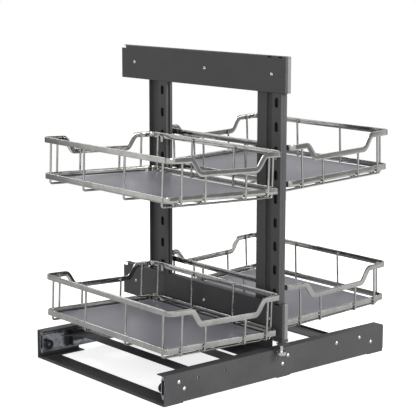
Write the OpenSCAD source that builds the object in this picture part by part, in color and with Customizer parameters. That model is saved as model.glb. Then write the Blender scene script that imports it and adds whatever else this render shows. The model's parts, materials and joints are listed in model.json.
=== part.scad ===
// Blind corner organizer: two baskets on a pull-out frame, two more on the carriage
// behind it, and a base whose telescopic slides let the whole carriage move sideways.
// Millimetres. The origin is the middle of the base on the cabinet floor. X runs along
// the base rails, Y across them, Z up, and the user stands on the -Y side.

/* [Base] */
// Length of the two base rails
rail_l = 585; // [500:5:700]
// Width of the base over the rails' outer faces
base_w = 420; // [400:5:500]
// Height of the rails' top edge above the floor
rail_top = 59; // [56:1:75]
// Depth of the rails' inward flanges
rail_flange = 22; // [18:1:30]
// Sheet thickness of the rails and the carriage
base_sheet = 2; // [1.5:0.1:2.5]
// Radius of the rails' corners at the right end
rail_corner = 6; // [3:0.5:10]
// Width of the two outer cross-bars
bar_w = 45; // [35:1:60]
// Height of the outer cross-bars' turned-up lip
bar_lip = 6; // [4:0.5:12]
// Width of the middle cross-bar
mid_bar_w = 34; // [25:1:60]
// Thickness of the cross-bars
bar_t = 2; // [1.5:0.1:3]
// Diameter of the floor screw holes
floor_hole_d = 5.5; // [4:0.1:7]
// Spacing of the floor screw holes across the base
floor_hole_gap = 300; // [200:5:340]
// Length of each foot of the far rail
foot_l = 102; // [60:2:140]
// Height of the far rail's lower edge between its feet
foot_cut = 8; // [3:0.5:9]

/* [Slides] */
// Height of a telescopic slide
slide_h = 45; // [35:1:48]
// Thickness of a closed telescopic slide
slide_t = 12.7; // [11:0.1:16]
// Sheet thickness of the slide members
slide_sheet = 1.5; // [1:0.1:2]
// Thickness of the outer member's rolled edge
race = 3; // [2:0.1:4]
// Running gap between two slide members
run_gap = 0.3; // [0.2:0.05:0.5]
// Space left at each end of a slide
slide_end = 4; // [2:0.5:10]
// Space between the rail's upper flange and the slide under it
slide_drop = 0.5; // [0.3:0.1:2]

/* [Frame] */
// Length of the frame's beams
beam_l = 516; // [480:2:600]
// Height of each beam
beam_h = 70; // [60:1:90]
// Top of the frame above the floor
frame_top = 627; // [600:1:800]
// Lower edge of the bottom beam above the floor
beam_low = 76.5; // [70:0.5:100]
// Sheet thickness of the beams and posts
sheet = 1.5; // [1:0.1:2]
// Depth of the front layer's flanges
front_flange = 6.3; // [4:0.1:8]
// Front face of the frame, from the base's middle
frame_x = -2; // [-20:1:20]
// How far the beams stand out past the near rail
beam_out = 4; // [2:0.5:8]
// Thickness of the end caps
cap_t = 1.5; // [1:0.1:2]

/* [Posts] */
// Width of a front post
post_w = 26; // [22:0.5:30]
// Distance between the two columns of hook slots
column_gap = 351.5; // [300:0.5:380]
// Near column of slots, from the beam's near end
column_in = 24.3; // [18:0.1:30]
// Width of a hook slot
slot_w = 10.5; // [9:0.5:12]
// Height of a hook slot
slot_h = 19; // [16:0.5:24]
// Distance from one slot to the next
slot_pitch = 46.6; // [40:0.1:60]
// Middle of the first slot below the top beam
slot_first = 18.4; // [14:0.1:40]
// Width of the near rear post
rear_near_w = 78; // [70:0.5:90]
// Width of the far rear post
rear_far_w = 68; // [60:0.5:80]
// Width of a rear post's flat part, before its raised part
rear_flat_w = 51.6; // [45:0.1:55]
// Depth of the crown in front of the frame's back
crown_h = 6.5; // [4:0.1:7]
// Near rear post's outer edge, from the beam's near end
rear_post_in = 11.4; // [8:0.1:20]
// Clear width between the two rear posts
rear_window = 271.9; // [200:0.1:300]

/* [Baskets] */
// Size of a basket along X
basket_d = 280; // [220:1:285]
// Size of a basket along Y
basket_l = 408; // [380:1:440]
// Radius of the basket's corners
basket_r = 14; // [8:0.5:20]
// Tilt that lifts a basket's outer side
tilt = 2.2; // [0:0.1:3]
// Height of the flat rim
rim_h = 10.8; // [7:0.1:12]
// Thickness of the rim and of the lower rail
rim_t = 3; // [2:0.1:4]
// Depth of the handle dip in the rim
dip = 27; // [15:0.5:35]
// Half the width of the dip at its bottom
dip_low = 66; // [50:1:75]
// Half the width of the dip at its top
dip_high = 93; // [80:1:105]
// Middle of the dip, from the basket's middle towards the frame
dip_shift = 4; // [0:0.5:10]
// Top of the rim down to the top of the lower rail
low_drop = 71.5; // [60:0.5:100]
// Height of the lower rail
low_h = 11.5; // [6:0.1:13]
// Diameter of the basket's wires
wire_d = 4.4; // [3:0.1:5]
// Inside radius of the wires' bends
wire_bend = 2; // [2:0.5:6]
// Thickness of the tray
tray_t = 4; // [3:0.1:4.5]
// Space between the tray and the lower rail
tray_in = 6.5; // [4:0.5:12]
// Space between the front baskets and the frame
front_gap = 3.6; // [3:0.1:6]
// Space between the rear baskets and the frame
rear_gap = 5.3; // [4:0.1:8]
// Rim of the upper rear basket below the frame's top
rear_upper_drop = 170.2; // [150:0.1:200]
// Rim of the lower rear basket below the frame's top
rear_lower_drop = 446; // [430:0.1:452]
// Width of a basket hook
hook_w = 8; // [6:0.5:9]
// Thickness of a basket hook
hook_t = 1.5; // [1:0.1:2.2]

/* [Carriage] */
// Width of the carriage's left bar
arm_w = 29; // [20:1:40]
// Left edge of the carriage's left bar, from the slides' left end
arm_in = 71.5; // [60:0.5:120]
// Width of the widened far end of the left bar, beyond its edge
flare_w = 33; // [10:1:40]
// Length of that widening
flare_l = 60; // [40:2:90]
// Width of the carriage's foot plate
plate_w = 74; // [40:1:90]
// Length of the upright flange that carries the rear frame
foot_flange_l = 340; // [200:10:370]
// Top of the carriage's sheets above the slides' middle
carriage_lift = 11; // [0:0.5:14]
// Diameter of the rubber bumpers
bumper_d = 20; // [14:0.5:24]

/* [Guide roller] */
// Diameter of the guide roller
roller_d = 21; // [14:0.5:24]
// Thickness of the guide roller
roller_h = 6.5; // [3:0.1:7]
// Diameter of the roller's pin
pin_d = 7.5; // [5:0.1:9]
// Radial clearance between the roller and its pin
pin_gap = 0.05; // [0.02:0.01:0.1]

/* [Hidden] */
$fn = 48;

// Overrun of every cut
over = 1;
// Gap of a seat between two pieces of one body
seat = 0.1;
// Gap between pieces that pass each other
pass_gap = 0.4;

// Heights and ends of the base
rail_x0 = -rail_l / 2;
rail_x1 = rail_l / 2;
wall_y = base_w / 2 - base_sheet;
slide_z = rail_top - base_sheet - slide_drop - slide_h / 2;
slide_x0 = rail_x0 + slide_end;
slide_l = rail_l - 2 * slide_end;
inner_y = wall_y - slide_t;

// Scallop in the near rail's left edge
scallop_r = 12;
scallop_deep = 2.5;
scallop_z = rail_top - 14;

// Middle cross-bar, from the base's middle
mid_bar_x = -10;
foot_side = 4;

// Rivets and spare holes in the rails, as shares of half the rail's length
high_rivet_shares = [-0.882, 0.062, 0.526, 0.756];
low_rivet_shares = [-0.838, 0.014, 0.872];
spare_hole_shares = [-0.725, -0.496, -0.038];
rivet_d = 7.5;
rivet_h = 1.8;
spare_hole_d = 5;
high_row = slide_z + rivet_d;
low_row = slide_z - rivet_d;

// Depths inside a telescopic slide, from its back
middle_back = slide_sheet + run_gap;
middle_race = race - run_gap;
middle_half = slide_h / 2 - race - run_gap;
inner_half = middle_half - middle_race - run_gap;
inner_front = slide_t - slide_sheet;
middle_reach = inner_front - run_gap;
outer_reach = middle_reach - 3 * run_gap;
inner_back = middle_back + slide_sheet + 2 * run_gap;

// Depths of the frame's two layers
layer_t = 2 * sheet + slide_t;
frame_back = frame_x + layer_t;
rear_flange = layer_t - front_flange - pass_gap;
rear_x = frame_back - rear_flange;
beam_y0 = -base_w / 2 - beam_out;
beam_y1 = beam_y0 + beam_l;
rear_y0 = beam_y0 + sheet + cap_t + pass_gap;
top_beam_z = frame_top - beam_h;
post_z0 = beam_low + beam_h;
post_l = top_beam_z - post_z0;
beam_slide_y0 = beam_y0 + 2 * slide_end;
beam_slide_l = beam_l - 4 * slide_end;

// Notches in the front channels' upper edge, as shares of the beam's length, and in the far corner
notch_w = 12;
notch_h = 3.5;
notch_shares = [0.033, 0.0891];
corner_notch_w = 14;
corner_notch_h = 6;

// Screws in the beams, from the near end, as shares of the beam's length
screw_shares = [0.0756, 0.4612, 0.9128];
screw_d = 7;
screw_h = 1.8;
drive_w = 3;
drive_deep = 1;

// Slots and the hooks that rest in them
near_column = beam_y0 + column_in;
front_mid = near_column + column_gap / 2;
slot_count = floor((post_l - slot_first - slot_h / 2) / slot_pitch) + 1;
slot_r = slot_w / 2;
hook_rest = slot_r - sqrt(slot_r * slot_r - hook_w * hook_w / 4) + 3 * seat;
rim_over_slot = rim_h + hook_rest - slot_h / 2;
hook_bar = 5;
hook_tongue = 9;
upper_slot = 2;
post_lip = 4;
rear_shift = 8;
rear_mid = front_mid + rear_shift;
rear_near_y = beam_y0 + rear_post_in;
rear_far_y = rear_near_y + rear_near_w + rear_window + rear_far_w;

// Basket rims: height of each rim's top edge
front_upper_z = top_beam_z - slot_first - upper_slot * slot_pitch + rim_over_slot;
front_lower_z = top_beam_z - slot_first - (slot_count - 1) * slot_pitch + rim_over_slot;
rear_upper_z = frame_top - rear_upper_drop;
rear_lower_z = frame_top - rear_lower_drop;

// Wires and rails of a basket, from the rim's outer face and top edge
wire_r = wire_d / 2;
wire_in = rim_t + seat + wire_r;
low_in = rim_t + wire_d + 2 * seat;
tray_edge = low_in + rim_t + tray_in;
upper_wire_z = -low_drop - low_h - wire_bend - wire_r;
lower_wire_z = upper_wire_z - wire_d - seat;
wire_start = 2;
cross_wire_shares = [-0.877, -0.319, 0.319, 0.877];
long_wire_shares = [-0.757, -0.354, 0.354, 0.757];
dip_steps = 8;

// Carriage sheets and the catch on the inner slides
carriage_z = slide_z + carriage_lift;
arm_x = slide_x0 + arm_in;
near_flare_w = arm_w / 2;
near_flare_l = 22;
tab_h = 20;
plate_x = frame_back - plate_w;
bumper_x = slide_x0 + bumper_d / 2;
bumper_z = slide_z - bumper_d / 5;
bumper_h = 5;
bumper_round = 2;
bumper_hole_d = 9;
catch_w = 15;
catch_h = 31;
catch_t = 8;
catch_gap = 2;
catch_x = arm_x - catch_gap - catch_w;

// Guide roller, beside the near rail's outer face and low under the frame
roller_y = -base_w / 2 - run_gap - roller_d / 2;
roller_out = 9;
roller_x = frame_x - roller_out;
roller_drop = 8.5;
roller_z = rail_top - roller_drop;
bracket_h = 7;
tab_z = beam_low - bracket_h;
tab_r = 8;
pin_head_d = 10;
pin_head_h = 1.5;
bracket_l = 28;

dark = [0.31, 0.31, 0.32];
zinc = [0.72, 0.74, 0.76];
chrome_grey = [0.80, 0.79, 0.76];
tray_grey = [0.58, 0.58, 0.62];
black = [0.09, 0.09, 0.10];
bright = [0.86, 0.86, 0.84];

// Extrudes an outline given in Y and Z along X
module along_x(x0, l) {
    translate([x0, 0, 0])
        rotate([90, 0, 90])
            linear_extrude(l) children();
}

// Extrudes an outline given in X and Z along Y
module along_y(y0, l) {
    translate([0, y0 + l, 0])
        rotate([90, 0, 0])
            linear_extrude(l) children();
}

// Upright obround outline around its middle
module obround(w, h) {
    square([w, h - w], center = true);
    for (s = [-1, 1])
        translate([0, s * (h - w) / 2]) circle(d = w);
}

// Rectangle with four round corners, from the origin along X and centred on Y
module round_rectangle(d, l, r) {
    translate([r, -l / 2]) square([d - 2 * r, l]);
    translate([0, r - l / 2]) square([d, l - 2 * r]);
    for (x = [r, d - r], y = [r - l / 2, l / 2 - r])
        translate([x, y]) circle(r);
}

// Base

// Web of the rail on the -Y side; the far rail is its mirror image
module rail_web() {
    rail_h = rail_top - bar_t;
    along_y(-base_w / 2, base_sheet)
        difference() {
            union() {
                translate([rail_x0, bar_t]) square([rail_l - rail_corner, rail_h]);
                translate([rail_x0, bar_t + rail_corner]) square([rail_l, rail_h - 2 * rail_corner]);
                for (z = [bar_t + rail_corner, rail_top - rail_corner])
                    translate([rail_x1 - rail_corner, z]) circle(rail_corner);
            }
            for (s = spare_hole_shares)
                translate([s * rail_x1, high_row]) circle(d = spare_hole_d);
        }
}

module rail_flange_strip(x0, l, z) {
    translate([x0, -base_w / 2, z]) cube([l, rail_flange, base_sheet]);
}

module near_rail() {
    color(dark)
        difference() {
            union() {
                rail_web();
                for (z = [bar_t, rail_top - base_sheet])
                    rail_flange_strip(rail_x0, rail_l - rail_corner, z);
            }
            translate([rail_x0 - scallop_r + scallop_deep, over - base_w / 2 + base_sheet, scallop_z])
                rotate([90, 0, 0]) cylinder(r = scallop_r, h = base_sheet + 2 * over);
        }
}

// The far rail's web and lower flange come down to the floor bars at its feet only
module far_rail() {
    mid_foot = [mid_bar_x - foot_side, mid_bar_w + 2 * foot_side];
    color(dark) mirror([0, 1, 0]) {
        rail_flange_strip(rail_x0, rail_l - rail_corner, rail_top - base_sheet);
        rail_flange_strip(rail_x0, foot_l, bar_t);
        rail_flange_strip(mid_foot[0], mid_foot[1], bar_t);
        rail_flange_strip(rail_x1 - foot_l, foot_l - rail_corner, bar_t);
        difference() {
            rail_web();
            for (gap = [[rail_x0 + foot_l, mid_foot[0]], [mid_foot[0] + mid_foot[1], rail_x1 - foot_l]])
                translate([gap[0], -base_w / 2 - over, bar_t - over])
                    cube([gap[1] - gap[0], base_sheet + 2 * over, foot_cut + over]);
        }
    }
}

module cross_bar_sheet(x0, w) {
    translate([x0, -base_w / 2, 0]) cube([w, base_w, bar_t]);
}

// Left bar with its lip; the right bar is its mirror image
module outer_cross_bar() {
    lip_y = base_w / 2 - rail_flange - bar_t;
    difference() {
        cross_bar_sheet(rail_x0, bar_w);
        for (s = [-1, 1])
            translate([rail_x0 + bar_w / 2, s * floor_hole_gap / 2, -over])
                cylinder(d = floor_hole_d, h = bar_t + 2 * over);
    }
    translate([rail_x0, -lip_y, 0]) cube([bar_t, 2 * lip_y, bar_lip]);
}

module left_cross_bar() {
    color(dark) outer_cross_bar();
}

module right_cross_bar() {
    color(dark) mirror([1, 0, 0]) outer_cross_bar();
}

module middle_cross_bar() {
    color(dark) cross_bar_sheet(mid_bar_x, mid_bar_w);
}

// Domed head standing on the XY plane
module dome(d, h) {
    r = (d * d / 4 + h * h) / (2 * h);
    intersection() {
        translate([0, 0, h - r]) sphere(r);
        cylinder(d = 2 * d, h = h + over);
    }
}

module rail_rivets() {
    rows = [[high_rivet_shares, high_row], [low_rivet_shares, low_row]];
    color(bright)
        for (side = [0, 1])
            mirror([0, side, 0])
                for (row = rows)
                    for (s = row[0])
                        translate([s * rail_x1, -base_w / 2, row[1]])
                            rotate([90, 0, 0]) dome(rivet_d, rivet_h);
}

// Telescopic slides: outlines with the back at zero and the middle at zero height

module outer_outline() {
    difference() {
        translate([0, -slide_h / 2]) square([outer_reach, slide_h]);
        translate([slide_sheet, race - slide_h / 2]) square([slide_t, slide_h - 2 * race]);
    }
}

module middle_outline() {
    difference() {
        translate([middle_back, -middle_half]) square([middle_reach - middle_back, 2 * middle_half]);
        translate([middle_back + slide_sheet, middle_race - middle_half])
            square([slide_t, 2 * (middle_half - middle_race)]);
    }
}

module inner_outline() {
    difference() {
        translate([inner_back, -inner_half]) square([slide_t - inner_back, 2 * inner_half]);
        translate([inner_back - over, slide_sheet - inner_half])
            square([inner_front - inner_back + over, 2 * (inner_half - slide_sheet)]);
    }
}

// Base slide on the near side (0) or the far side (1)
module base_slide(side) {
    color(zinc) mirror([0, side, 0])
        along_x(slide_x0, slide_l)
            translate([-wall_y, slide_z]) children();
}

// Beam slide whose back lies on the rear sheet, in the beam that starts at height z
module beam_slide(z) {
    color(zinc)
        along_y(beam_slide_y0, beam_slide_l)
            translate([frame_back - sheet, z + beam_h / 2]) mirror([1, 0]) children();
}

module near_slide_outer() {
    base_slide(0) outer_outline();
}

module far_slide_outer() {
    base_slide(1) outer_outline();
}

module near_slide_middle() {
    base_slide(0) middle_outline();
}

module far_slide_middle() {
    base_slide(1) middle_outline();
}

module near_slide_inner() {
    base_slide(0) inner_outline();
}

module far_slide_inner() {
    base_slide(1) inner_outline();
}

module top_slide_outer() {
    beam_slide(top_beam_z) outer_outline();
}

module bottom_slide_outer() {
    beam_slide(beam_low) outer_outline();
}

module top_slide_middle() {
    beam_slide(top_beam_z) middle_outline();
}

module bottom_slide_middle() {
    beam_slide(beam_low) middle_outline();
}

module top_slide_inner() {
    beam_slide(top_beam_z) inner_outline();
}

module bottom_slide_inner() {
    beam_slide(beam_low) inner_outline();
}

// Carriage

// Sheet flush with the carriage's top, over the outline drawn by its children
module carriage_sheet() {
    translate([0, 0, carriage_z - base_sheet]) linear_extrude(base_sheet) children();
}

// Tabs on the inner slide members at both ends of a carriage sheet
module end_tabs(x0, w) {
    for (side = [0, 1])
        mirror([0, side, 0])
            translate([x0, -inner_y, carriage_z - tab_h]) cube([w, base_sheet, tab_h]);
}

// Corner outline that widens a sheet by w over the last stretch l with a hollow curve
module flare(w, l) {
    r = (w * w + l * l) / (2 * w);
    difference() {
        translate([-w, 0]) square([w, l]);
        translate([-r, 0]) circle(r, $fn = 96);
    }
}

// The far end widens up to the catch block
module carriage_arm() {
    flare_y = inner_y - catch_t - catch_gap;
    color(dark) {
        carriage_sheet() {
            translate([arm_x, -inner_y]) square([arm_w, 2 * inner_y]);
            translate([arm_x, flare_y - flare_l]) flare(flare_w, flare_l);
            translate([arm_x + arm_w, near_flare_l - inner_y]) rotate(180) flare(near_flare_w, near_flare_l);
        }
        end_tabs(arm_x, arm_w);
    }
}

// Foot plate with an upright flange that carries the rear layer's bottom channel
module carriage_plate() {
    color(dark) {
        carriage_sheet()
            translate([plate_x, -inner_y]) square([plate_w, 2 * inner_y]);
        end_tabs(plate_x, plate_w);
        translate([frame_back - base_sheet, -foot_flange_l / 2, carriage_z - base_sheet])
            cube([base_sheet, foot_flange_l, beam_low - carriage_z + base_sheet]);
    }
}

// Stands its children on both inner slide members, facing the middle of the base
module on_inner_slides(x, z) {
    for (side = [0, 1])
        mirror([0, side, 0])
            translate([x, -inner_y, z]) rotate([-90, 0, 0]) children();
}

module bumper_rings() {
    hole_r = bumper_hole_d / 2;
    wide = bumper_d / 2 - hole_r;
    color(black)
        on_inner_slides(bumper_x, bumper_z)
            rotate_extrude() translate([hole_r, 0]) {
                square([wide, bumper_h - bumper_round]);
                square([wide - bumper_round, bumper_h]);
                translate([wide - bumper_round, bumper_h - bumper_round]) circle(bumper_round);
            }
}

module bumper_rivets() {
    color(bright)
        on_inner_slides(bumper_x, bumper_z) dome(bumper_hole_d - 2 * pass_gap, bumper_h / 2);
}

module catch_blocks() {
    color(black)
        on_inner_slides(catch_x, slide_z)
            translate([0, -catch_h / 2, 0])
                difference() {
                    cube([catch_w, catch_h, catch_t]);
                    translate([catch_w / 4, -over, catch_t / 2])
                        cube([catch_w / 2, catch_h + 2 * over, catch_t]);
                }
}

// Rear layer of the frame

module rear_channel(z) {
    color(dark)
        along_y(rear_y0, beam_y1 - rear_y0)
            translate([rear_x, z])
                difference() {
                    square([rear_flange, beam_h]);
                    translate([-sheet, sheet]) square([rear_flange, beam_h - 2 * sheet]);
                }
}

module rear_top_channel() {
    rear_channel(top_beam_z);
}

module rear_bottom_channel() {
    rear_channel(beam_low);
}

// Slots for the hooks of the rear baskets, one at each rim
module rear_slots(y) {
    for (z = [rear_upper_z, rear_lower_z])
        translate([frame_back + over, y, z - rim_over_slot])
            rotate([90, 0, -90]) linear_extrude(sheet + 2 * over) obround(slot_w, slot_h);
}

// Rear post w wide from its outer flange at y; way is 1 towards +Y and -1 towards -Y
module rear_post(y, w, way, column) {
    crown_x = frame_back - crown_h;
    color(dark)
        difference() {
            translate([0, y, post_z0]) linear_extrude(post_l)
                scale([1, way]) {
                    translate([rear_x, 0]) square([rear_flange, sheet]);
                    translate([frame_back - sheet, 0]) square([sheet, rear_flat_w + sheet]);
                    translate([crown_x, rear_flat_w]) square([sheet, w - rear_flat_w]);
                    for (side = [rear_flat_w, w - sheet])
                        translate([crown_x, side]) square([frame_back - crown_x, sheet]);
                }
            rear_slots(column);
        }
}

module rear_near_post() {
    rear_post(rear_near_y, rear_near_w, 1, rear_mid - column_gap / 2);
}

module rear_far_post() {
    rear_post(rear_far_y, rear_far_w, -1, rear_mid + column_gap / 2);
}

// Round-headed screw with a square drive, standing on the XY plane
module screw_head() {
    difference() {
        dome(screw_d, screw_h);
        translate([-drive_w / 2, -drive_w / 2, screw_h - drive_deep]) cube([drive_w, drive_w, screw_h]);
    }
}

module beam_screws(x, turn) {
    color(bright)
        for (z = [top_beam_z, beam_low])
            for (s = screw_shares)
                translate([x, beam_y0 + s * beam_l, z + beam_h / 2]) rotate([0, turn, 0]) screw_head();
}

module rear_screws() {
    beam_screws(frame_back, 90);
}

module front_screws() {
    beam_screws(frame_x, -90);
}

// Front layer of the frame

module front_channel(z) {
    color(dark)
        difference() {
            union() {
                along_y(beam_y0, beam_l)
                    translate([frame_x, z])
                        difference() {
                            square([front_flange, beam_h]);
                            translate([sheet, sheet]) square([front_flange, beam_h - 2 * sheet]);
                        }
                along_y(beam_y0, sheet)
                    translate([frame_x, z]) square([front_flange, beam_h]);
            }
            for (s = notch_shares)
                translate([frame_x - over, beam_y0 + s * beam_l - notch_w / 2, z + beam_h - notch_h])
                    cube([2 * sheet + over, notch_w, notch_h + over]);
            translate([frame_x - over, beam_y1 - corner_notch_w, z + beam_h - corner_notch_h])
                cube([front_flange + 2 * over, corner_notch_w + over, corner_notch_h + over]);
        }
}

module front_top_channel() {
    front_channel(top_beam_z);
}

module front_bottom_channel() {
    front_channel(beam_low);
}

// Front post around its column of slots, with the deep flange on the -Y side
module front_post(column) {
    color(dark)
        difference() {
            translate([frame_x, column - post_w / 2, post_z0]) linear_extrude(post_l) {
                square([sheet, post_w]);
                square([front_flange, sheet]);
                translate([0, post_w - sheet]) square([post_lip, sheet]);
            }
            for (i = [0 : slot_count - 1])
                translate([frame_x + sheet + over, column, top_beam_z - slot_first - i * slot_pitch])
                    rotate([90, 0, -90]) linear_extrude(sheet + 2 * over) obround(slot_w, slot_h);
        }
}

module front_near_post() {
    front_post(near_column);
}

module front_far_post() {
    front_post(near_column + column_gap);
}

// Caps that close the frame's near end; each sits behind the front channel's end flange
module beam_end_caps() {
    color([0.42, 0.42, 0.43])
        for (z = [top_beam_z, beam_low])
            along_y(beam_y0 + sheet, cap_t) {
                translate([frame_x + sheet, z + sheet])
                    square([layer_t - sheet, beam_h - 2 * sheet]);
                translate([frame_x + front_flange + seat, z])
                    square([layer_t - front_flange - seat, beam_h]);
            }
}

// Folded bracket under the bottom channel that holds the guide pin
module guide_bracket() {
    pin_end_r = pin_d / 2 - sheet;
    color(dark) {
        difference() {
            translate([0, 0, tab_z]) linear_extrude(sheet) {
                translate([frame_x, beam_y0]) square([front_flange, bracket_l]);
                translate([roller_x, roller_y]) circle(tab_r);
                translate([roller_x, roller_y - tab_r])
                    square([frame_x + front_flange - roller_x, beam_y0 - roller_y + 2 * tab_r]);
            }
            translate([roller_x, roller_y, tab_z - over])
                cylinder(r = pin_end_r + pin_gap, h = sheet + 2 * over);
        }
        translate([frame_x, beam_y0, tab_z]) cube([sheet, bracket_l, bracket_h]);
        translate([frame_x, beam_y0, beam_low - sheet]) cube([front_flange, bracket_l, sheet]);
        translate([frame_x, beam_y0, tab_z]) cube([layer_t, sheet, bracket_h]);
    }
}

module guide_pin() {
    color(zinc)
        translate([roller_x, roller_y, 0]) {
            translate([0, 0, roller_z - run_gap - pin_head_h]) cylinder(d = pin_head_d, h = pin_head_h);
            translate([0, 0, roller_z - run_gap]) cylinder(d = pin_d, h = tab_z - roller_z + run_gap);
            translate([0, 0, tab_z]) cylinder(r = pin_d / 2 - sheet, h = sheet);
        }
}

module guide_roller() {
    color(bright)
        translate([roller_x, roller_y, roller_z])
            difference() {
                cylinder(d = roller_d, h = roller_h);
                translate([0, 0, -over]) cylinder(r = pin_d / 2 + pin_gap, h = roller_h + 2 * over);
            }
}

// Baskets: X runs outwards from the rim's frame side, Y is centred, Z is zero at the rim's top

// Points along one side of the dip; edge is 1 for the upper edge and -1 for the lower one
function dip_point(t, edge) =
    let (run = dip_high - dip_low)
    let (slope = dip * PI / 2 * sin(180 * t) / run)
    let (n = [slope, 1] / sqrt(1 + slope * slope))
    [dip_high - run * t, -rim_h / 2 - dip * (1 - cos(180 * t)) / 2] + edge * rim_h / 2 * [-n[0], n[1]];

// Outline of the rim seen from the side: a flat band that dips between its two ends
module rim_outline() {
    mid = basket_d / 2 - dip_shift;
    ts = [for (i = [0 : dip_steps]) i / dip_steps];
    back_ts = [for (i = [dip_steps : -1 : 0]) i / dip_steps];
    polygon(concat(
        [[-over, 0]],
        [for (t = ts) [mid - dip_point(t, 1)[0], dip_point(t, 1)[1]]],
        [for (t = back_ts) [mid + dip_point(t, 1)[0], dip_point(t, 1)[1]]],
        [[basket_d + over, 0], [basket_d + over, -rim_h]],
        [for (t = ts) [mid + dip_point(t, -1)[0], dip_point(t, -1)[1]]],
        [for (t = back_ts) [mid - dip_point(t, -1)[0], dip_point(t, -1)[1]]],
        [[-over, -rim_h]]));
}

// Closed flat band that stands on edge, t thick, inset from the rim's outer face along X and along Y
module band(in_x, in_y, t) {
    r = basket_r - in_y / 2;
    difference() {
        translate([in_x, 0]) round_rectangle(basket_d - 2 * in_x, basket_l - 2 * in_y, r);
        translate([in_x + t, 0])
            round_rectangle(basket_d - 2 * (in_x + t), basket_l - 2 * (in_y + t), r - t);
    }
}

module rim() {
    color(chrome_grey)
        intersection() {
            translate([0, 0, -dip - rim_h]) linear_extrude(dip + rim_h) band(0, 0, rim_t);
            along_y(-basket_l / 2 - over, basket_l + 2 * over) rim_outline();
        }
}

// Its long sides are flush with the rim, and the long wires' legs stand in front of its ends
module lower_rail() {
    color(chrome_grey)
        translate([0, 0, -low_drop - low_h]) linear_extrude(low_h) band(0, low_in, rim_t);
}

// Wire bent to a U in the XZ plane: two legs from z_top down, a run at z_low between them
module u_wire(span, z_top, z_low) {
    bend = wire_bend + wire_r;
    for (side = [0, 1])
        translate([side * span, 0, 0]) mirror([side, 0, 0]) {
            translate([0, 0, z_low + bend]) cylinder(r = wire_r, h = z_top - z_low - bend);
            translate([bend, 0, z_low + bend])
                rotate([90, 0, 0]) rotate([0, 0, 180])
                    rotate_extrude(angle = 90) translate([bend, 0]) circle(wire_r);
        }
    translate([bend, 0, z_low]) rotate([0, 90, 0]) cylinder(r = wire_r, h = span - 2 * bend);
}

// Wires that run along X below the long ones, with their legs inside the rim's long sides
module cross_wires() {
    color(chrome_grey)
        for (s = cross_wire_shares)
            translate([wire_in, s * basket_l / 2, 0])
                u_wire(basket_d - 2 * wire_in, -wire_start, lower_wire_z);
}

// Wires that run along Y under the tray and the lower rail; the two middle ones start under the dip
module long_wires() {
    span = basket_l - 2 * wire_in;
    color(chrome_grey)
        for (s = long_wire_shares) {
            start = abs(s * basket_d / 2 + dip_shift) < dip_low ? dip + wire_start : wire_start;
            translate([(1 + s) * basket_d / 2, -span / 2, 0])
                rotate([0, 0, 90]) u_wire(span, -start, upper_wire_z);
        }
}

module tray() {
    color(tray_grey)
        translate([tray_edge, 0, upper_wire_z + wire_r + seat])
            linear_extrude(tray_t)
                round_rectangle(basket_d - 2 * tray_edge, basket_l - 2 * tray_edge, basket_r / 2);
}

// Hook across a gap of the given width: a bar through the slot and a tongue behind the sheet
module hook(gap) {
    reach = gap + sheet + 2 * seat + hook_t;
    along_y(-hook_w / 2, hook_w)
        translate([0, -rim_h]) {
            translate([-reach, 0]) square([reach, hook_bar]);
            translate([-reach, -hook_tongue]) square([hook_t, hook_tongue + hook_bar]);
            translate([-gap + seat, -hook_tongue]) square([hook_t, hook_tongue + hook_bar]);
        }
}

// Places a front basket, whose outer side faces -X, with its rim's top at z
module at_front(z) {
    translate([frame_x - front_gap, front_mid, z]) mirror([1, 0, 0]) children();
}

// Places a rear basket, whose outer side faces +X, with its rim's top at z
module at_rear(z) {
    translate([frame_back + rear_gap, rear_mid, z]) children();
}

// Lifts the outer side of a basket
module tilted() {
    rotate([0, -tilt, 0]) children();
}

module front_hooks() {
    color(chrome_grey)
        for (z = [front_upper_z, front_lower_z], side = [-1, 1])
            at_front(z) translate([0, side * column_gap / 2, 0]) hook(front_gap);
}

module rear_hooks() {
    color(chrome_grey)
        for (z = [rear_upper_z, rear_lower_z], side = [-1, 1])
            at_rear(z) translate([0, side * column_gap / 2, 0]) hook(rear_gap);
}

near_rail();
far_rail();
left_cross_bar();
middle_cross_bar();
right_cross_bar();
rail_rivets();
near_slide_outer();
far_slide_outer();
near_slide_middle();
far_slide_middle();
near_slide_inner();
far_slide_inner();
carriage_arm();
carriage_plate();
bumper_rings();
bumper_rivets();
catch_blocks();
rear_top_channel();
rear_bottom_channel();
rear_near_post();
rear_far_post();
rear_screws();
top_slide_outer();
bottom_slide_outer();
top_slide_middle();
bottom_slide_middle();
top_slide_inner();
bottom_slide_inner();
front_top_channel();
front_bottom_channel();
front_near_post();
front_far_post();
front_screws();
beam_end_caps();
guide_bracket();
guide_pin();
guide_roller();
front_hooks();
rear_hooks();
at_front(front_upper_z) tilted() rim();  // front_upper_rim
at_front(front_upper_z) tilted() lower_rail();  // front_upper_lower_rail
at_front(front_upper_z) tilted() cross_wires();  // front_upper_cross_wires
at_front(front_upper_z) tilted() long_wires();  // front_upper_long_wires
at_front(front_upper_z) tilted() tray();  // front_upper_tray
at_front(front_lower_z) tilted() rim();  // front_lower_rim
at_front(front_lower_z) tilted() lower_rail();  // front_lower_lower_rail
at_front(front_lower_z) tilted() cross_wires();  // front_lower_cross_wires
at_front(front_lower_z) tilted() long_wires();  // front_lower_long_wires
at_front(front_lower_z) tilted() tray();  // front_lower_tray
at_rear(rear_upper_z) tilted() rim();  // rear_upper_rim
at_rear(rear_upper_z) tilted() lower_rail();  // rear_upper_lower_rail
at_rear(rear_upper_z) tilted() cross_wires();  // rear_upper_cross_wires
at_rear(rear_upper_z) tilted() long_wires();  // rear_upper_long_wires
at_rear(rear_upper_z) tilted() tray();  // rear_upper_tray
at_rear(rear_lower_z) tilted() rim();  // rear_lower_rim
at_rear(rear_lower_z) tilted() lower_rail();  // rear_lower_lower_rail
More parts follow.
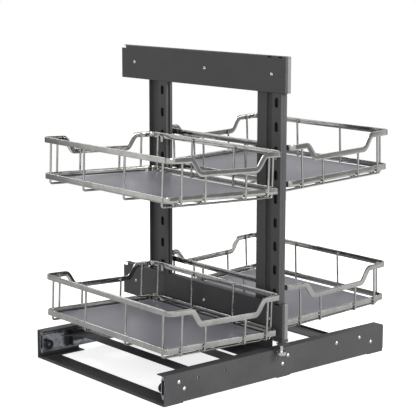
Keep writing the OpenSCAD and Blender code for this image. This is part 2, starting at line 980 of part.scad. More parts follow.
at_rear(rear_lower_z) tilted() cross_wires();  // rear_lower_cross_wires
at_rear(rear_lower_z) tilted() long_wires();  // rear_lower_long_wires
at_rear(rear_lower_z) tilted() tray();  // rear_lower_tray
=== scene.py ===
"""Blind corner organizer: chrome wire baskets on a pull-out frame and on the sideways carriage behind it."""
import json
import math

import bmesh
import bpy
from mathutils import Matrix, Vector


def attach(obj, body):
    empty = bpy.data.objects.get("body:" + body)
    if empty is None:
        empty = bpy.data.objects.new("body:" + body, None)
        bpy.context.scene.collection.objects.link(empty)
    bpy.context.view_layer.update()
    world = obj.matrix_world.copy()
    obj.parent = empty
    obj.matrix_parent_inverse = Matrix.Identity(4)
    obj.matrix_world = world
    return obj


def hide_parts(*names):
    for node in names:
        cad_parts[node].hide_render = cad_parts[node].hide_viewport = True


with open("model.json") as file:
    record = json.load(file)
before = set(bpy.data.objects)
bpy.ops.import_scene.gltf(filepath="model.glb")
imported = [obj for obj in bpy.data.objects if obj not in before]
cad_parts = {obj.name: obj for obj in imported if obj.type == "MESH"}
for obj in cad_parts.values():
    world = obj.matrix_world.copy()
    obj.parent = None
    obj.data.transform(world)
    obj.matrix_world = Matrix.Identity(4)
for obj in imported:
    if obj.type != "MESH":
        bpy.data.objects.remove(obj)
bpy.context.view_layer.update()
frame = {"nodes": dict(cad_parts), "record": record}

# Camera
# A long lens from the front left, ten degrees above the horizon, which is the photograph's
# viewpoint. It is turned by the given angles, so that no shift is needed.
MM = 0.001
EYE = Vector((-1.7663, -2.0757, 0.7935))
YAW = math.radians(49.794)
PITCH = math.radians(10.086)
ROLL = math.radians(0.158)
LENS_MM = 117.35
ahead = Vector((math.cos(YAW) * math.cos(PITCH), math.sin(YAW) * math.cos(PITCH), -math.sin(PITCH)))
level = Vector((math.sin(YAW), -math.cos(YAW), 0))
upright = level.cross(ahead)
right = level * math.cos(ROLL) + upright * math.sin(ROLL)
top = upright * math.cos(ROLL) - level * math.sin(ROLL)
lens = bpy.data.cameras.new("camera")
lens.lens = LENS_MM
lens.sensor_width = 36
lens.clip_start = 0.05
lens.clip_end = 200
camera = bpy.data.objects.new("camera", lens)
camera.matrix_world = Matrix.Translation(EYE) @ Matrix((right, top, -ahead)).transposed().to_4x4()
bpy.context.scene.collection.objects.link(camera)
bpy.context.scene.camera = camera


# Studio
# A pale seamless floor in a white room that is dim behind the object, as behind a cut-out product
# shot, so that bright bars get dark edges. Soft boxes stand on the right, in front, above and behind.
def add(tree, kind, inputs=None, **settings):
    """Adds a node to a tree. A socket among its inputs is linked, and anything else is set."""
    made = tree.nodes.new(kind)
    for name, value in settings.items():
        setattr(made, name, value)
    for key, value in (inputs or {}).items():
        if isinstance(value, bpy.types.NodeSocket):
            tree.links.new(value, made.inputs[key])
        else:
            made.inputs[key].default_value = value
    return made


def srgb(code):
    """Linear colour of an sRGB hex code such as "c8c4bc"."""
    shares = [int(code[i:i + 2], 16) / 255 for i in (0, 2, 4)]
    return [s / 12.92 if s < 0.04045 else ((s + 0.055) / 1.055) ** 2.4 for s in shares] + [1.0]


def link(made):
    """Puts a new object in the scene."""
    bpy.context.scene.collection.objects.link(made)
    return made


bpy.context.scene.view_settings.view_transform = "Standard"
BEHIND = (0.64, 0.77, 0.0)
AZIMUTH_STOPS = ((0.0, 0.90), (0.25, 0.85), (0.36, 0.30), (0.44, 0.30), (0.52, 0.80), (0.60, 0.90),
                 (0.68, 0.30), (0.76, 0.03), (1.0, 0.03))
HEIGHT_STOPS = ((0.0, 0.9), (0.5, 1.0), (0.62, 0.9), (0.80, 0.35), (1.0, 0.25))
world = bpy.data.worlds.new("white_room")
world.use_nodes = True
room = world.node_tree
room.nodes.clear()
direction = add(room, "ShaderNodeTexCoord").outputs["Generated"]
away = add(room, "ShaderNodeVectorMath", {0: direction, 1: BEHIND}, operation="DOT_PRODUCT")
rise = add(room, "ShaderNodeSeparateXYZ", {0: direction})
strengths = []
for value, stops in ((away.outputs["Value"], AZIMUTH_STOPS), (rise.outputs["Z"], HEIGHT_STOPS)):
    share = add(room, "ShaderNodeMapRange", {"Value": value, 1: -1.0, 2: 1.0})
    ramp = add(room, "ShaderNodeValToRGB", {0: share.outputs[0]})
    for i, (place, grey) in enumerate(stops):
        stop = ramp.color_ramp.elements[0] if i == 0 else ramp.color_ramp.elements.new(place)
        stop.position = place
        stop.color = (grey, grey, grey, 1)
    strengths.append(ramp.outputs[0])
both = add(room, "ShaderNodeMix", {"Factor": 1.0, 6: strengths[0], 7: strengths[1]},
           data_type="RGBA", blend_type="MULTIPLY")
# The camera sees plain white, and everything else sees the room's greys.
seen = add(room, "ShaderNodeLightPath").outputs["Is Camera Ray"]
shown = add(room, "ShaderNodeMix", {"Factor": seen, 6: both.outputs[2], 7: srgb("ffffff")},
            data_type="RGBA")
background = add(room, "ShaderNodeBackground", {"Color": shown.outputs[2], "Strength": 1.0})
add(room, "ShaderNodeOutputWorld", {"Surface": background.outputs[0]})
bpy.context.scene.world = world

# The floor is whiter to the camera than to the bars that mirror it.
FLOOR_R = 1.9
FLOOR_DROP = 0.3 * MM
FLOOR_SEEN, FLOOR_UNSEEN = "f6f6f5", "a6a6a6"
FLOOR_GLOW_SEEN, FLOOR_GLOW_UNSEEN = 0.75, 0.25
FLOOR_SIDES = 96
FIBRE_SCALE, TOOTH_DEPTH = 900.0, 0.2 * MM
floor_mesh = bpy.data.meshes.new("studio_floor")
turns = [2 * math.pi * a / FLOOR_SIDES for a in range(FLOOR_SIDES)]
floor_mesh.from_pydata([(FLOOR_R * math.cos(a), FLOOR_R * math.sin(a), -FLOOR_DROP) for a in turns], [],
                       [tuple(range(FLOOR_SIDES))])
floor = link(bpy.data.objects.new("studio_floor", floor_mesh))
paper = bpy.data.materials.new("seamless_paper")
paper.use_nodes = True
paper.node_tree.nodes.clear()
fibre = add(paper.node_tree, "ShaderNodeTexNoise", {"Scale": FIBRE_SCALE, "Detail": 3.0})
tooth = add(paper.node_tree, "ShaderNodeBump",
            {"Strength": 0.04, "Distance": TOOTH_DEPTH, "Height": fibre.outputs[0]})
watched = add(paper.node_tree, "ShaderNodeLightPath").outputs["Is Camera Ray"]
glow = add(paper.node_tree, "ShaderNodeMapRange",
           {"Value": watched, 3: FLOOR_GLOW_UNSEEN, 4: FLOOR_GLOW_SEEN})
tone = add(paper.node_tree, "ShaderNodeMix",
           {"Factor": watched, 6: srgb(FLOOR_UNSEEN), 7: srgb(FLOOR_SEEN)}, data_type="RGBA")
sheet = add(paper.node_tree, "ShaderNodeBsdfPrincipled",
            {"Base Color": tone.outputs[2], "Roughness": 0.9, "Normal": tooth.outputs[0],
             "Emission Color": srgb("ffffff"), "Emission Strength": glow.outputs[0]})
add(paper.node_tree, "ShaderNodeOutputMaterial", {"Surface": sheet.outputs[0]})
floor_mesh.materials.append(paper)

# Each soft box has its place, its width in metres and its power in watts, and faces the middle.
AIM = Vector((0, 0, 0.3))
SOFT_BOXES = (("right_box", (1.1, -2.3, 1.6), 1.0, 54.0), ("front_box", (-1.35, -2.25, 0.9), 0.7, 15.0),
              ("top_box", (-0.6, 2.0, 2.0), 1.0, 16.0), ("high_box", (1.5, -0.4, 2.2), 1.0, 9.0))
for name, place, size, watts in SOFT_BOXES:
    soft = bpy.data.lights.new(name, "AREA")
    soft.shape = "SQUARE"
    soft.size = size
    soft.energy = watts
    box = link(bpy.data.objects.new(name, soft))
    box.location = place
    box.rotation_euler = (AIM - Vector(place)).to_track_quat("-Z", "Y").to_euler()


# Base rails and cross-bars
# Two folded C-rails of 2 mm steel lie on three flat strips. All are cut and folded from sheet, spot
# welded together and powder coated a dark iron grey; the near rail hides its slide.
NODE_BODY = {n: b for b, members in frame["record"]["behaviour"]["bodies"].items() for n in members}
WIDE_FACE = 2.2 * MM
FLAT_ANGLE = math.radians(1)
SHARP_ANGLE = math.radians(28)
MERGE_DIST = 0.004 * MM
BEND_STEPS = 3
EDGE_SHARE = 0.45


def smooth(mesh):
    """Smooth shading with sharp edges kept."""
    mesh.polygons.foreach_set("use_smooth", [True] * len(mesh.polygons))
    mesh.set_sharp_from_angle(angle=SHARP_ANGLE)


def bake(piece, modifier):
    """Puts a modifier's result into its piece's mesh and takes the modifier away."""
    depsgraph = bpy.context.evaluated_depsgraph_get()
    piece.data = bpy.data.meshes.new_from_object(piece.evaluated_get(depsgraph), depsgraph=depsgraph)
    piece.modifiers.remove(modifier)


def fastened(piece, body, slot, *nodes):
    """Makes a piece ride on its body in place of CAD nodes. The slot is not used."""
    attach(piece, body)
    if nodes:
        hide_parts(*nodes)


def regions_of(bm):
    """Width of the flat region that each face belongs to: twice its area over its outline's length."""
    region = {}
    for start in bm.faces:
        if start in region:
            continue
        members, queue = [], [start]
        region[start] = None
        while queue:
            face = queue.pop()
            members.append(face)
            for edge in face.edges:
                for other in edge.link_faces:
                    if other not in region and face.normal.angle(other.normal, 0) < FLAT_ANGLE:
                        region[other] = None
                        queue.append(other)
        inside = set(members)
        outline = sum(e.calc_length() for f in members for e in f.edges
                      if any(o not in inside for o in e.link_faces))
        width = 2 * sum(f.calc_area() for f in members) / max(outline, 1e-9)
        for face in members:
            region[face] = width
    return region


def eased(node, finish, slot, fold=1.6 * MM, cut=0.25 * MM):
    """Piece that stands for a CAD node: its folds get a bend radius and its cut edges are broken.

    A sharp edge that stands out between two wide faces is a fold, and any other one is a cut.
    """
    mesh = frame["nodes"][node].data.copy()
    bm = bmesh.new()
    bm.from_mesh(mesh)
    bmesh.ops.remove_doubles(bm, verts=bm.verts, dist=MERGE_DIST)
    bmesh.ops.dissolve_limit(bm, angle_limit=FLAT_ANGLE, verts=bm.verts, edges=bm.edges)
    bm.normal_update()
    width = regions_of(bm)
    weights = bm.edges.layers.float.new("bevel_weight_edge")
    for edge in bm.edges:
        if len(edge.link_faces) != 2 or abs(edge.calc_face_angle_signed()) < SHARP_ANGLE:
            continue
        folded = min(width[f] for f in edge.link_faces) > WIDE_FACE and edge.calc_face_angle_signed() > 0
        beside = [e.calc_length() for side in edge.link_loops
                  for e in (side.link_loop_prev.edge, side.link_loop_next.edge)]
        edge[weights] = min(fold if folded else cut, EDGE_SHARE * min(beside)) / fold
    bm.to_mesh(mesh)
    bm.free()
    mesh.materials.clear()
    mesh.materials.append(finish)
    piece = link(bpy.data.objects.new(node + "_piece", mesh))
    bevel = piece.modifiers.new("folds", "BEVEL")
    bevel.limit_method = "WEIGHT"
    bevel.width = fold
    bevel.segments = BEND_STEPS
    bevel.use_clamp_overlap = False
    bake(piece, bevel)
    smooth(piece.data)
    flatten = piece.modifiers.new("flat_faces", "WEIGHTED_NORMAL")
    flatten.keep_sharp = True
    flatten.weight = 100
    bake(piece, flatten)
    fastened(piece, NODE_BODY[node], slot, node)


def new_material(name):
    """Empty material: its tree and its place, in the object's own coordinates."""
    material = bpy.data.materials.new(name)
    material.use_nodes = True
    material.node_tree.nodes.clear()
    place = add(material.node_tree, "ShaderNodeTexCoord").outputs["Object"]
    return material, material.node_tree, place


# The peel's bumps are drawn 2.2 mm wide, as coarse as they need to be to show.
CLOUD_SIZE, PEEL_SIZE, PEEL_DEPTH = 60 * MM, 2.2 * MM, 0.12 * MM


def powder_coat(name, light, dark, gloss=(0.40, 0.54)):
    """Epoxy powder baked on steel: matt, with a fine orange peel and faint cloudy differences."""
    material, tree, place = new_material(name)
    cloud = add(tree, "ShaderNodeTexNoise", {"Vector": place, "Scale": 1 / CLOUD_SIZE, "Detail": 4.0})
    grain = add(tree, "ShaderNodeTexNoise", {"Vector": place, "Scale": 1 / PEEL_SIZE, "Detail": 2.0})
    mixed = add(tree, "ShaderNodeMath", {0: cloud.outputs[0], 1: grain.outputs[0]}, operation="ADD")
    tone = add(tree, "ShaderNodeMapRange", {"Value": mixed.outputs[0], 1: 0.7, 2: 1.3})
    colour = add(tree, "ShaderNodeMix", {"Factor": tone.outputs[0], 6: srgb(dark), 7: srgb(light)},
                 data_type="RGBA")
    sheen = add(tree, "ShaderNodeMapRange",
                {"Value": cloud.outputs[0], 1: 0.3, 2: 0.7, 3: gloss[0], 4: gloss[1]})
    peel = add(tree, "ShaderNodeBump",
               {"Strength": 0.35, "Distance": PEEL_DEPTH, "Height": grain.outputs[0]})
    coat = add(tree, "ShaderNodeBsdfPrincipled",
               {"Base Color": colour.outputs[2], "Roughness": sheen.outputs[0],
                "Normal": peel.outputs[0], "IOR": 1.5})
    add(tree, "ShaderNodeOutputMaterial", {"Surface": coat.outputs[0]})
    return material


iron_grey = powder_coat("iron_grey_powder_coat", "4e4e4f", "424244")
for node in ("near_rail", "far_rail", "left_cross_bar", "middle_cross_bar", "right_cross_bar"):
    eased(node, iron_grey, "dark_steel")


# Rivets and screws
# Domed zinc-plated heads. The rails' rivets clench the base slides, and the beams' screws with their
# square drive hold the beam slides.
def tree_with(name, **sockets):
    """Geometry tree with a seed geometry and named inputs, whose kinds are given."""
    tree = bpy.data.node_groups.new(name, "GeometryNodeTree")
    tree.interface.new_socket("Geometry", in_out="INPUT", socket_type="NodeSocketGeometry")
    for socket, kind in {"Finish": "Material", **sockets}.items():
        tree.interface.new_socket(socket, in_out="INPUT", socket_type="NodeSocket" + kind)
    tree.interface.new_socket("Geometry", in_out="OUTPUT", socket_type="NodeSocketGeometry")
    return tree, add(tree, "NodeGroupInput").outputs


def close_tree(tree, shape, finish):
    """Ends a geometry tree: real geometry with its material."""
    real = add(tree, "GeometryNodeRealizeInstances", {0: shape})
    coated = add(tree, "GeometryNodeSetMaterial", {"Geometry": real.outputs[0], "Material": finish})
    add(tree, "NodeGroupOutput", {0: coated.outputs[0]})


def grown(name, seed, tree, finish, **sizes):
    """Plain mesh object that a geometry tree grows from a mesh of points or edges."""
    piece = link(bpy.data.objects.new(name, seed))
    modifier = piece.modifiers.new("grow", "NODES")
    modifier.node_group = tree
    sizes["Finish"] = finish
    for item in tree.interface.items_tree:
        if item.in_out == "INPUT" and item.name in sizes:
            modifier[item.identifier] = sizes[item.name]
    bake(piece, modifier)
    smooth(piece.data)
    return piece


def islands(node):
    """Lowest and highest corners of each separate solid of a CAD node."""
    bm = bmesh.new()
    bm.from_mesh(frame["nodes"][node].data)
    bmesh.ops.remove_doubles(bm, verts=bm.verts, dist=MERGE_DIST)
    seen, boxes = set(), []
    for start in bm.verts:
        if start in seen:
            continue
        seen.add(start)
        queue, members = [start], []
        while queue:
            vert = queue.pop()
            members.append(vert.co.copy())
            for edge in vert.link_edges:
                other = edge.other_vert(vert)
                if other not in seen:
                    seen.add(other)
                    queue.append(other)
        boxes.append([Vector([pick(c[i] for c in members) for i in range(3)]) for pick in (min, max)])
    bm.free()
    return boxes


def turned(name, profile, steps=32, hollow=False):
    """Solid turned about Z from rings of radius and height in mm; a third value makes a ring square."""
    bm = bmesh.new()
    rings = []
    for radius, height, *square in profile:
        ring = []
        for i in range(steps):
            a = 2 * math.pi * (i + 0.5) / steps
            reach = radius * MM / (max(abs(math.cos(a)), abs(math.sin(a))) if square else 1)
            ring.append(bm.verts.new((reach * math.cos(a), reach * math.sin(a), height * MM)))
        rings.append(ring)
    for low, high in zip(rings, rings[1:] + rings[:1] if hollow else rings[1:]):
        for i in range(steps):
            j = (i + 1) % steps
            bm.faces.new((low[i], low[j], high[j], high[i]))
    if not hollow:
        bm.faces.new(rings[0])
        bm.faces.new(rings[-1])
    bmesh.ops.recalc_face_normals(bm, faces=bm.faces)
    mesh = bpy.data.meshes.new(name)
    bm.to_mesh(mesh)
    bm.free()
    return mesh


# The plating's grain is drawn 1.5 mm wide, as coarse as it needs to be to show.
PLATE_GRAIN = 1.5 * MM


def metal_plate(name, light, dark, rough, cloud_mm, bump=0.15):
    """Electroplated metal on steel, with faint clouds where the bath ran off."""
    material, tree, place = new_material(name)
    cloud = add(tree, "ShaderNodeTexNoise",
                {"Vector": place, "Scale": 1 / (cloud_mm * MM), "Detail": 5.0, "Roughness": 0.6})
    tone = add(tree, "ShaderNodeMapRange", {"Value": cloud.outputs[0], 1: 0.35, 2: 0.65})
    colour = add(tree, "ShaderNodeMix", {"Factor": tone.outputs[0], 6: srgb(dark), 7: srgb(light)},
                 data_type="RGBA")
    gloss = add(tree, "ShaderNodeMapRange",
                {"Value": cloud.outputs[0], 1: 0.3, 2: 0.7, 3: rough, 4: rough * 1.5})
    fine = add(tree, "ShaderNodeTexNoise", {"Vector": place, "Scale": 1 / PLATE_GRAIN, "Detail": 2.0})
    grain = add(tree, "ShaderNodeBump", {"Strength": bump, "Distance": 0.0001, "Height": fine.outputs[0]})
    plate = add(tree, "ShaderNodeBsdfPrincipled",
                {"Base Color": colour.outputs[2], "Metallic": 1.0, "Roughness": gloss.outputs[0],
                 "Normal": grain.outputs[0]})
    add(tree, "ShaderNodeOutputMaterial", {"Surface": plate.outputs[0]})
    return material


bright_zinc = metal_plate("bright_zinc_plate", "e8e6e0", "cfcdc8", 0.24, 6)

# Copies of one model at points, each turned so that it stands out along the point's own direction.
copy_tree, given = tree_with("copies_on_points", Model="Object")
outward = add(copy_tree, "GeometryNodeInputNamedAttribute", {"Name": "out"}, data_type="FLOAT_VECTOR")
turn = add(copy_tree, "FunctionNodeAlignRotationToVector", {"Vector": outward.outputs[0]}, axis="Z")
model = add(copy_tree, "GeometryNodeObjectInfo", {"Object": given["Model"]})
copies = add(copy_tree, "GeometryNodeInstanceOnPoints",
             {"Points": given["Geometry"], "Instance": model.outputs["Geometry"],
              "Rotation": turn.outputs[0]})
close_tree(copy_tree, copies.outputs[0], given["Finish"])


def copied(name, mesh, spots, finish):
    """Copies of a model at spots, each given as its place and its outward direction."""
    seed = bpy.data.meshes.new(name)
    seed.from_pydata([place for place, way in spots], [], [])
    seed.attributes.new("out", "FLOAT_VECTOR", "POINT")
    for i, (place, way) in enumerate(spots):
        seed.attributes["out"].data[i].vector = way
    model = link(bpy.data.objects.new(name + "_model", mesh))
    piece = grown(name, seed, copy_tree, finish, Model=model)
    bpy.data.objects.remove(model)
    return piece


def head_spots(node, axis, way):
    """Feet of a CAD node's heads and their outward direction, away from the middle when way is zero."""
    spots = []
    for low, high in islands(node):
        foot = (low + high) / 2
        sign = way or math.copysign(1, foot[axis])
        foot[axis] = low[axis] if sign > 0 else high[axis]
        spots.append((foot, [sign * (i == axis) for i in range(3)]))
    return spots


rivet_head = turned("rivet_head", ((3.75, 0), (3.75, 0.15), (3.4, 0.62), (2.8, 1.05), (2.0, 1.45), (1.1, 1.7),
                                   (0.3, 1.8)))
screw_head = turned("screw_head", ((3.5, 0), (3.5, 0.2), (3.3, 0.7), (2.8, 1.2), (2.2, 1.6), (1.9, 1.75),
                                   (1.6, 1.8, 1), (1.5, 1.7, 1), (1.45, 0.85, 1)), steps=40)
fastened(copied("rail_rivet_heads", rivet_head, head_spots("rail_rivets", 1, 0), bright_zinc),
         "base", "fasteners", "rail_rivets")
fastened(copied("rear_screw_heads", screw_head, head_spots("rear_screws", 0, 1), bright_zinc),
         "carriage", "fasteners", "rear_screws")
fastened(copied("front_screw_heads", screw_head, head_spots("front_screws", 0, -1), bright_zinc),
         "front_frame", "fasteners", "front_screws")


# Telescopic slides
# Each slide is three nested members, roll formed from zinc-plated strip. The outer ones are riveted to
# the rails and beams, and the inner ones carry the carriage and the front frame.
slide_zinc = metal_plate("clear_zinc_plate", "dde1e7", "a2a8b0", 0.28, 9)
for where in ("near", "far", "top", "bottom"):
    for member in ("outer", "middle", "inner"):
        eased(where + "_slide_" + member, slide_zinc, "zinc", fold=1.0 * MM, cut=0.2 * MM)


# Carriage
# Two sheets across the inner slide members: the arm with its flared ends, and the foot plate with the
# upright flange that carries the rear layer. Folded steel with the same powder coat as the rails.
for node in ("carriage_arm", "carriage_plate"):
    eased(node, iron_grey, "dark_steel")


# Bumpers and catch blocks
# A moulded rubber ring round a bright rivet at the end of each inner member, and the glass-filled
# nylon block that the slide's end stop snaps into.
def moulded(name, colour, rough, grain_mm, strength):
    """Moulded rubber or plastic with a fine eroded grain."""
    material, tree, place = new_material(name)
    grain = add(tree, "ShaderNodeTexNoise", {"Vector": place, "Scale": 1 / (grain_mm * MM), "Detail": 3.0})
    gloss = add(tree, "ShaderNodeMapRange",
                {"Value": grain.outputs[0], 1: 0.3, 2: 0.7, 3: rough - 0.08, 4: rough + 0.08})
    bump = add(tree, "ShaderNodeBump", {"Strength": strength, "Distance": 0.0001, "Height": grain.outputs[0]})
    skin = add(tree, "ShaderNodeBsdfPrincipled",
               {"Base Color": srgb(colour), "Roughness": gloss.outputs[0], "Normal": bump.outputs[0],
                "IOR": 1.5})
    add(tree, "ShaderNodeOutputMaterial", {"Surface": skin.outputs[0]})
    return material


rubber = moulded("black_nitrile_rubber", "1c1c1d", 0.72, 0.8, 0.4)
nylon = moulded("black_glass_filled_nylon", "17171a", 0.45, 0.5, 0.25)
RING_R, RING_HOLE, RING_T, RING_ROUND, RING_BREAK = 10, 4.5, 5, 2, 0.6
round_edge = [(RING_R - RING_ROUND + RING_ROUND * math.sin(math.radians(a)),
               RING_T - RING_ROUND + RING_ROUND * math.cos(math.radians(a))) for a in range(90, -1, -15)]
bumper_ring = turned("bumper_ring", [(RING_HOLE, 0), (RING_R, 0)] + round_edge
                     + [(RING_HOLE + RING_BREAK, RING_T), (RING_HOLE, RING_T - RING_BREAK)],
                     hollow=True)
bumper_head = turned("bumper_head", ((4.1, 0), (4.1, 0.6), (3.8, 1.3), (3.1, 1.9), (2.2, 2.3),
                                     (1.1, 2.48), (0.3, 2.5)))


def facing_in(node):
    """Spots at the inner faces of a CAD node's solids, which point towards the middle."""
    return [(foot, [-v for v in way]) for foot, way in head_spots(node, 1, 0)]


# The feet are at the solids' inner faces, so the rings stand 5 mm and the heads 2.5 mm further in
# than the solids that they replace.
fastened(copied("bumper_ring_pair", bumper_ring, facing_in("bumper_rings"), rubber),
         "carriage", "rubber", "bumper_rings")
fastened(copied("bumper_head_pair", bumper_head, facing_in("bumper_rivets"), bright_zinc),
         "carriage", "fasteners", "bumper_rivets")
eased("catch_blocks", nylon, "black_plastic", fold=0.6 * MM, cut=0.4 * MM)


# Rear layer of the frame
# Two channels and two wide posts, cut with slots, folded and welded to the foot plate's flange. They
# are powder coated with the base.
for node in ("rear_top_channel", "rear_bottom_channel", "rear_near_post", "rear_far_post"):
    eased(node, iron_grey, "dark_steel")


# Front layer of the frame
# The pull-out half: two channels over the beam slides and two posts with rows of hook slots. The caps
# that close the beams' near ends are a lighter grey.
cap_grey = powder_coat("cap_grey_powder_coat", "8a8a8b", "78787a")
for node in ("front_top_channel", "front_bottom_channel", "front_near_post", "front_far_post"):
    eased(node, iron_grey, "dark_steel")
eased("beam_end_caps", cap_grey, "end_caps")

# A thin black sheet stands inside each front post, behind its slots. It is painted shade: a dark sheet put
# where the post's hollow has only shade, so that the slots look black. It has the catch blocks' black nylon.
SHADE_SHEET_X, SHADE_SHEET_T, SHADE_SHEET_W = 1.7 * MM, 0.5 * MM, 22 * MM
for node in ("front_near_post", "front_far_post"):
    low, high = islands(node)[0]
    bm = bmesh.new()
    bmesh.ops.create_cube(bm, size=1)
    middle = Vector((SHADE_SHEET_X + SHADE_SHEET_T / 2, (low.y + high.y) / 2, (low.z + high.z) / 2))
    shape = Matrix.Diagonal((SHADE_SHEET_T, SHADE_SHEET_W, high.z - low.z, 1))
    bmesh.ops.transform(bm, verts=bm.verts, matrix=Matrix.Translation(middle) @ shape)
    mesh = bpy.data.meshes.new(node + "_strip")
    bm.to_mesh(mesh)
    bm.free()
    mesh.materials.append(nylon)
    # The black sheet is painted shade behind the slots, riding on the front frame.
    fastened(link(bpy.data.objects.new(node + "_strip", mesh)), "front_frame", "black_plastic")


# Guide roller
# A turned steel roller on a riveted pin under a folded bracket. It runs along the near rail's outer
# face and keeps the pulled-out frame upright.
eased("guide_bracket", iron_grey, "dark_steel")
turned_steel = metal_plate("turned_bright_steel", "e6e5e1", "c4c3c0", 0.2, 3)


def standing(name, mesh, node, finish):
    """Turned piece that stands upright in place of a CAD node."""
    low, high = islands(node)[0]
    mesh.transform(Matrix.Translation(((low.x + high.x) / 2, (low.y + high.y) / 2, low.z)))
    mesh.materials.append(finish)
    smooth(mesh)
    return link(bpy.data.objects.new(name, mesh))


ROLLER_H = 6.5
roller_shape = turned("roller", [(3.8, 0.5), (4.4, 0), (9.9, 0), (10.5, 0.6), (10.5, 2.2), (10.1, 2.6),
                                 (10.1, ROLLER_H - 2.6), (10.5, ROLLER_H - 2.2), (10.5, ROLLER_H - 0.6),
                                 (9.9, ROLLER_H), (4.4, ROLLER_H), (3.8, ROLLER_H - 0.5)],
                      steps=64, hollow=True)
fastened(standing("roller_wheel", roller_shape, "guide_roller", turned_steel), "roller", "roller",
         "guide_roller")
PIN_LOW, PIN_HIGH = [c.z / MM for c in islands("guide_pin")[0]]
PIN_L, PIN_TAB = PIN_HIGH - PIN_LOW, 1.5
pin_shape = turned("pin", [(4.5, 0), (5, 0.4), (5, 1.3), (4.8, 1.5), (3.75, 1.5),
                           (3.75, PIN_L - PIN_TAB - 0.2), (3.55, PIN_L - PIN_TAB), (2.25, PIN_L - PIN_TAB),
                           (2.25, PIN_L - 0.2), (2.05, PIN_L)], steps=48)
fastened(standing("roller_pin", pin_shape, "guide_pin", turned_steel), "front_frame", "zinc", "guide_pin")


# Baskets
# Each basket has a rim and a lower rail of flat bar, both bent round the corners, with the rim's two
# ends dipped. Round wires are welded inside them, and everything is satin chrome plated. A laminated
# board lies on the wires, and two bent hooks hang the rim in the posts' slots.
satin_chrome = metal_plate("satin_chrome_plate", "c4c3c0", "b0afac", 0.06, 25, bump=0.03)

bar_tree, given = tree_with("flat_bar", Thick="Float", High="Float", Edge="Float")
path = add(bar_tree, "GeometryNodeMeshToCurve", {0: given["Geometry"]})
level_path = add(bar_tree, "GeometryNodeSetCurveNormal", {0: path.outputs[0]}, mode="Z_UP")
section = add(bar_tree, "GeometryNodeCurvePrimitiveQuadrilateral",
              {"Width": given["Thick"], "Height": given["High"]})
rounded = add(bar_tree, "GeometryNodeFilletCurve",
              {"Curve": section.outputs[0], "Radius": given["Edge"], "Count": 3}, mode="POLY")
swept = add(bar_tree, "GeometryNodeCurveToMesh",
            {"Curve": level_path.outputs[0], "Profile Curve": rounded.outputs[0]})
close_tree(bar_tree, swept.outputs[0], given["Finish"])

wire_tree, given = tree_with("bent_wire", Radius="Float", Bend="Float")
path = add(wire_tree, "GeometryNodeMeshToCurve", {0: given["Geometry"]})
bent = add(wire_tree, "GeometryNodeFilletCurve",
           {"Curve": path.outputs[0], "Radius": given["Bend"], "Count": 8}, mode="POLY")
section = add(wire_tree, "GeometryNodeCurvePrimitiveCircle", {"Radius": given["Radius"], "Resolution": 14})
swept = add(wire_tree, "GeometryNodeCurveToMesh",
            {"Curve": bent.outputs[0], "Profile Curve": section.outputs[0], "Fill Caps": True})
close_tree(wire_tree, swept.outputs[0], given["Finish"])

# A basket's sizes are in mm, from the middle of its inner side at the rim's top. The wires stand at
# shares of half its length and half its depth, and each basket has its own place and heading.
BASKET_D, BASKET_L, BASKET_R = 280, 408, 14
CORNER_STEP, DIP_STEPS = 10, 12
RIM_H, RIM_T, DIP, DIP_LOW, DIP_HIGH, DIP_SHIFT = 10.8, 3, 27, 66, 93, 4
LOW_Z, LOW_H, LOW_IN = -71.5, 11.5, 7.6
WIRE_R, WIRE_IN, WIRE_BEND, WIRE_TOP = 2.2, 5.3, 4.2, 2
UPPER_WIRE_Z, LOWER_WIRE_Z = -87.2, -91.7
CROSS_WIRES = (-0.877, -0.319, 0.319, 0.877)
LONG_WIRES = (-0.757, -0.354, 0.354, 0.757)
TILT = math.radians(2.2)
BASKETS = {"front_upper": ((-5.6, -13.95, 448.85), 180), "front_lower": ((-5.6, -13.95, 169.25), 180),
           "rear_upper": ((19, -5.95, 456.8), 0), "rear_lower": ((19, -5.95, 181.0), 0)}


def loop(in_x, in_y, radius, height):
    """Closed path round a basket, inset from its outline; the height follows from the place."""
    half_d, half_l = BASKET_D / 2 - in_x, BASKET_L / 2 - in_y
    points = []
    for sx, sy, start in ((1, 1, 0), (-1, 1, 90), (-1, -1, 180), (1, -1, 270)):
        for a in range(start, start + 91, CORNER_STEP):
            c, s = math.cos(math.radians(a)), math.sin(math.radians(a))
            points.append((sx * (half_d - radius) + radius * c, sy * (half_l - radius) + radius * s))
        if sx * sy > 0:
            runs = [DIP_HIGH - (DIP_HIGH - DIP_LOW) * i / DIP_STEPS for i in range(DIP_STEPS + 1)]
            points += [(sx * x - DIP_SHIFT, sy * half_l) for x in runs]
            points += [(-sx * x - DIP_SHIFT, sy * half_l) for x in reversed(runs)]
    return [Vector((BASKET_D / 2 + x, y, height(x, y, half_l))) for x, y in points]


def dipped(x, y, half_l):
    """Height of the rim's middle: flat on the long sides, with a smooth dip in each end."""
    off = abs(x + DIP_SHIFT)
    if abs(y) < half_l - 0.01 or off > DIP_HIGH:
        return -RIM_H / 2
    t = min(1, (DIP_HIGH - off) / (DIP_HIGH - DIP_LOW))
    return -RIM_H / 2 - DIP * (1 - math.cos(math.pi * t)) / 2


def seed_of(name, paths, closed):
    """Mesh of edges along paths in mm."""
    corners, edges = [], []
    for path in paths:
        first = len(corners)
        corners += [Vector(p) * MM for p in path]
        edges += [(i, i + 1) for i in range(first, len(corners) - 1)]
        if closed:
            edges.append((len(corners) - 1, first))
    seed = bpy.data.meshes.new(name)
    seed.from_pydata(corners, edges, [])
    return seed


def u_path(start, end, top, low):
    """Path of a U-shaped wire that stands between two places."""
    return [(*start, top), (*start, low), (*end, low), (*end, top)]


def drop_at(share):
    """How far the rim has dipped where a long wire meets it."""
    return DIP * (abs(share * BASKET_D / 2 + DIP_SHIFT) < DIP_LOW)


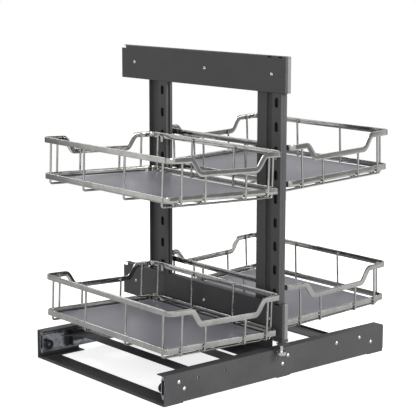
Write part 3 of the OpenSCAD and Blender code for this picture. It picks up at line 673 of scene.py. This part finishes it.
BAR_EDGE = 0.4 * MM
rim_path = loop(RIM_T / 2, RIM_T / 2, BASKET_R - RIM_T / 2, dipped)
rail_path = loop(RIM_T / 2, LOW_IN + RIM_T / 2, BASKET_R - (LOW_IN + RIM_T) / 2,
                 lambda x, y, half_l: LOW_Z - LOW_H / 2)
cross_paths = [u_path((WIRE_IN, s * BASKET_L / 2), (BASKET_D - WIRE_IN, s * BASKET_L / 2),
                      -WIRE_TOP, LOWER_WIRE_Z) for s in CROSS_WIRES]
long_paths = [u_path(((1 + s) * BASKET_D / 2, WIRE_IN - BASKET_L / 2),
                     ((1 + s) * BASKET_D / 2, BASKET_L / 2 - WIRE_IN),
                     -WIRE_TOP - drop_at(s), UPPER_WIRE_Z) for s in LONG_WIRES]

# A weld is a small flattened bead where a wire's leg lies on the rim or the lower rail. The lower
# rail is set in at the two ends, and LOW_REACH is the share of that way to a long wire's lower welds.
bead = turned("weld_bead", ((0.9, -0.5), (1.6, 0), (1.5, 0.45), (1.0, 0.8), (0.3, 0.95)), steps=12)
BEAD_IN, BEAD_SIDE, LOW_REACH = 0.4, 0.9 * WIRE_R, 0.86
weld_spots = []
for s in CROSS_WIRES:
    for x, way in ((RIM_T, 1), (BASKET_D - RIM_T, -1)):
        for z in (-RIM_H / 2, LOW_Z - LOW_H / 2):
            for side in (-1, 1):
                foot = Vector((x + way * BEAD_IN, s * BASKET_L / 2 + side * BEAD_SIDE, z))
                weld_spots.append((foot * MM, Vector((way, side, 0)).normalized()))
for s in LONG_WIRES:
    for y, way in ((RIM_T - BASKET_L / 2, 1), (BASKET_L / 2 - RIM_T, -1)):
        for z in (-RIM_H / 2 - drop_at(s), LOW_Z - LOW_H / 2):
            reach = 0 if z > LOW_Z else LOW_IN - RIM_T
            for side in (-1, 1):
                foot = Vector(((1 + s) * BASKET_D / 2 + side * BEAD_SIDE,
                               y + way * (BEAD_IN + reach * LOW_REACH), z))
                facing = Vector((side, -way if reach else way, 0))
                weld_spots.append((foot * MM, facing.normalized()))

# The melamine film has the powder coat's fine grain, and a little more gloss.
board_grey = powder_coat("grey_melamine_board", "86868f", "7a7a83", gloss=(0.32, 0.40))
BOARD_EDGE = 0.3 * MM
for basket, (corner, heading) in BASKETS.items():
    to_place = (Matrix.Translation(Vector(corner) * MM) @ Matrix.Rotation(math.radians(heading), 4, "Z")
                @ Matrix.Rotation(-TILT, 4, "Y"))
    body = NODE_BODY[basket + "_rim"]
    parts = (
        ("rim", grown(basket + "_rim_bar", seed_of("rim", [rim_path], True), bar_tree, satin_chrome,
                      Thick=RIM_T * MM, High=RIM_H * MM, Edge=BAR_EDGE)),
        ("lower_rail", grown(basket + "_rail_bar", seed_of("rail", [rail_path], True), bar_tree, satin_chrome,
                             Thick=RIM_T * MM, High=LOW_H * MM, Edge=BAR_EDGE)),
        ("cross_wires", grown(basket + "_cross_wire_set", seed_of("cross", cross_paths, False), wire_tree,
                              satin_chrome, Radius=WIRE_R * MM, Bend=WIRE_BEND * MM)),
        ("long_wires", grown(basket + "_long_wire_set", seed_of("long", long_paths, False), wire_tree,
                             satin_chrome, Radius=WIRE_R * MM, Bend=WIRE_BEND * MM)))
    for node, piece in parts:
        piece.data.transform(to_place)
        fastened(piece, body, "chrome", basket + "_" + node)
    welds = copied(basket + "_welds", bead, weld_spots, satin_chrome)
    welds.data.transform(to_place)
    fastened(welds, body, "chrome")
    eased(basket + "_tray", board_grey, "tray", fold=BOARD_EDGE, cut=BOARD_EDGE)

# The hooks are bent from the same bar and plated with the baskets.
for node in ("front_hooks", "rear_hooks"):
    eased(node, satin_chrome, "chrome", fold=0.8 * MM, cut=0.15 * MM)
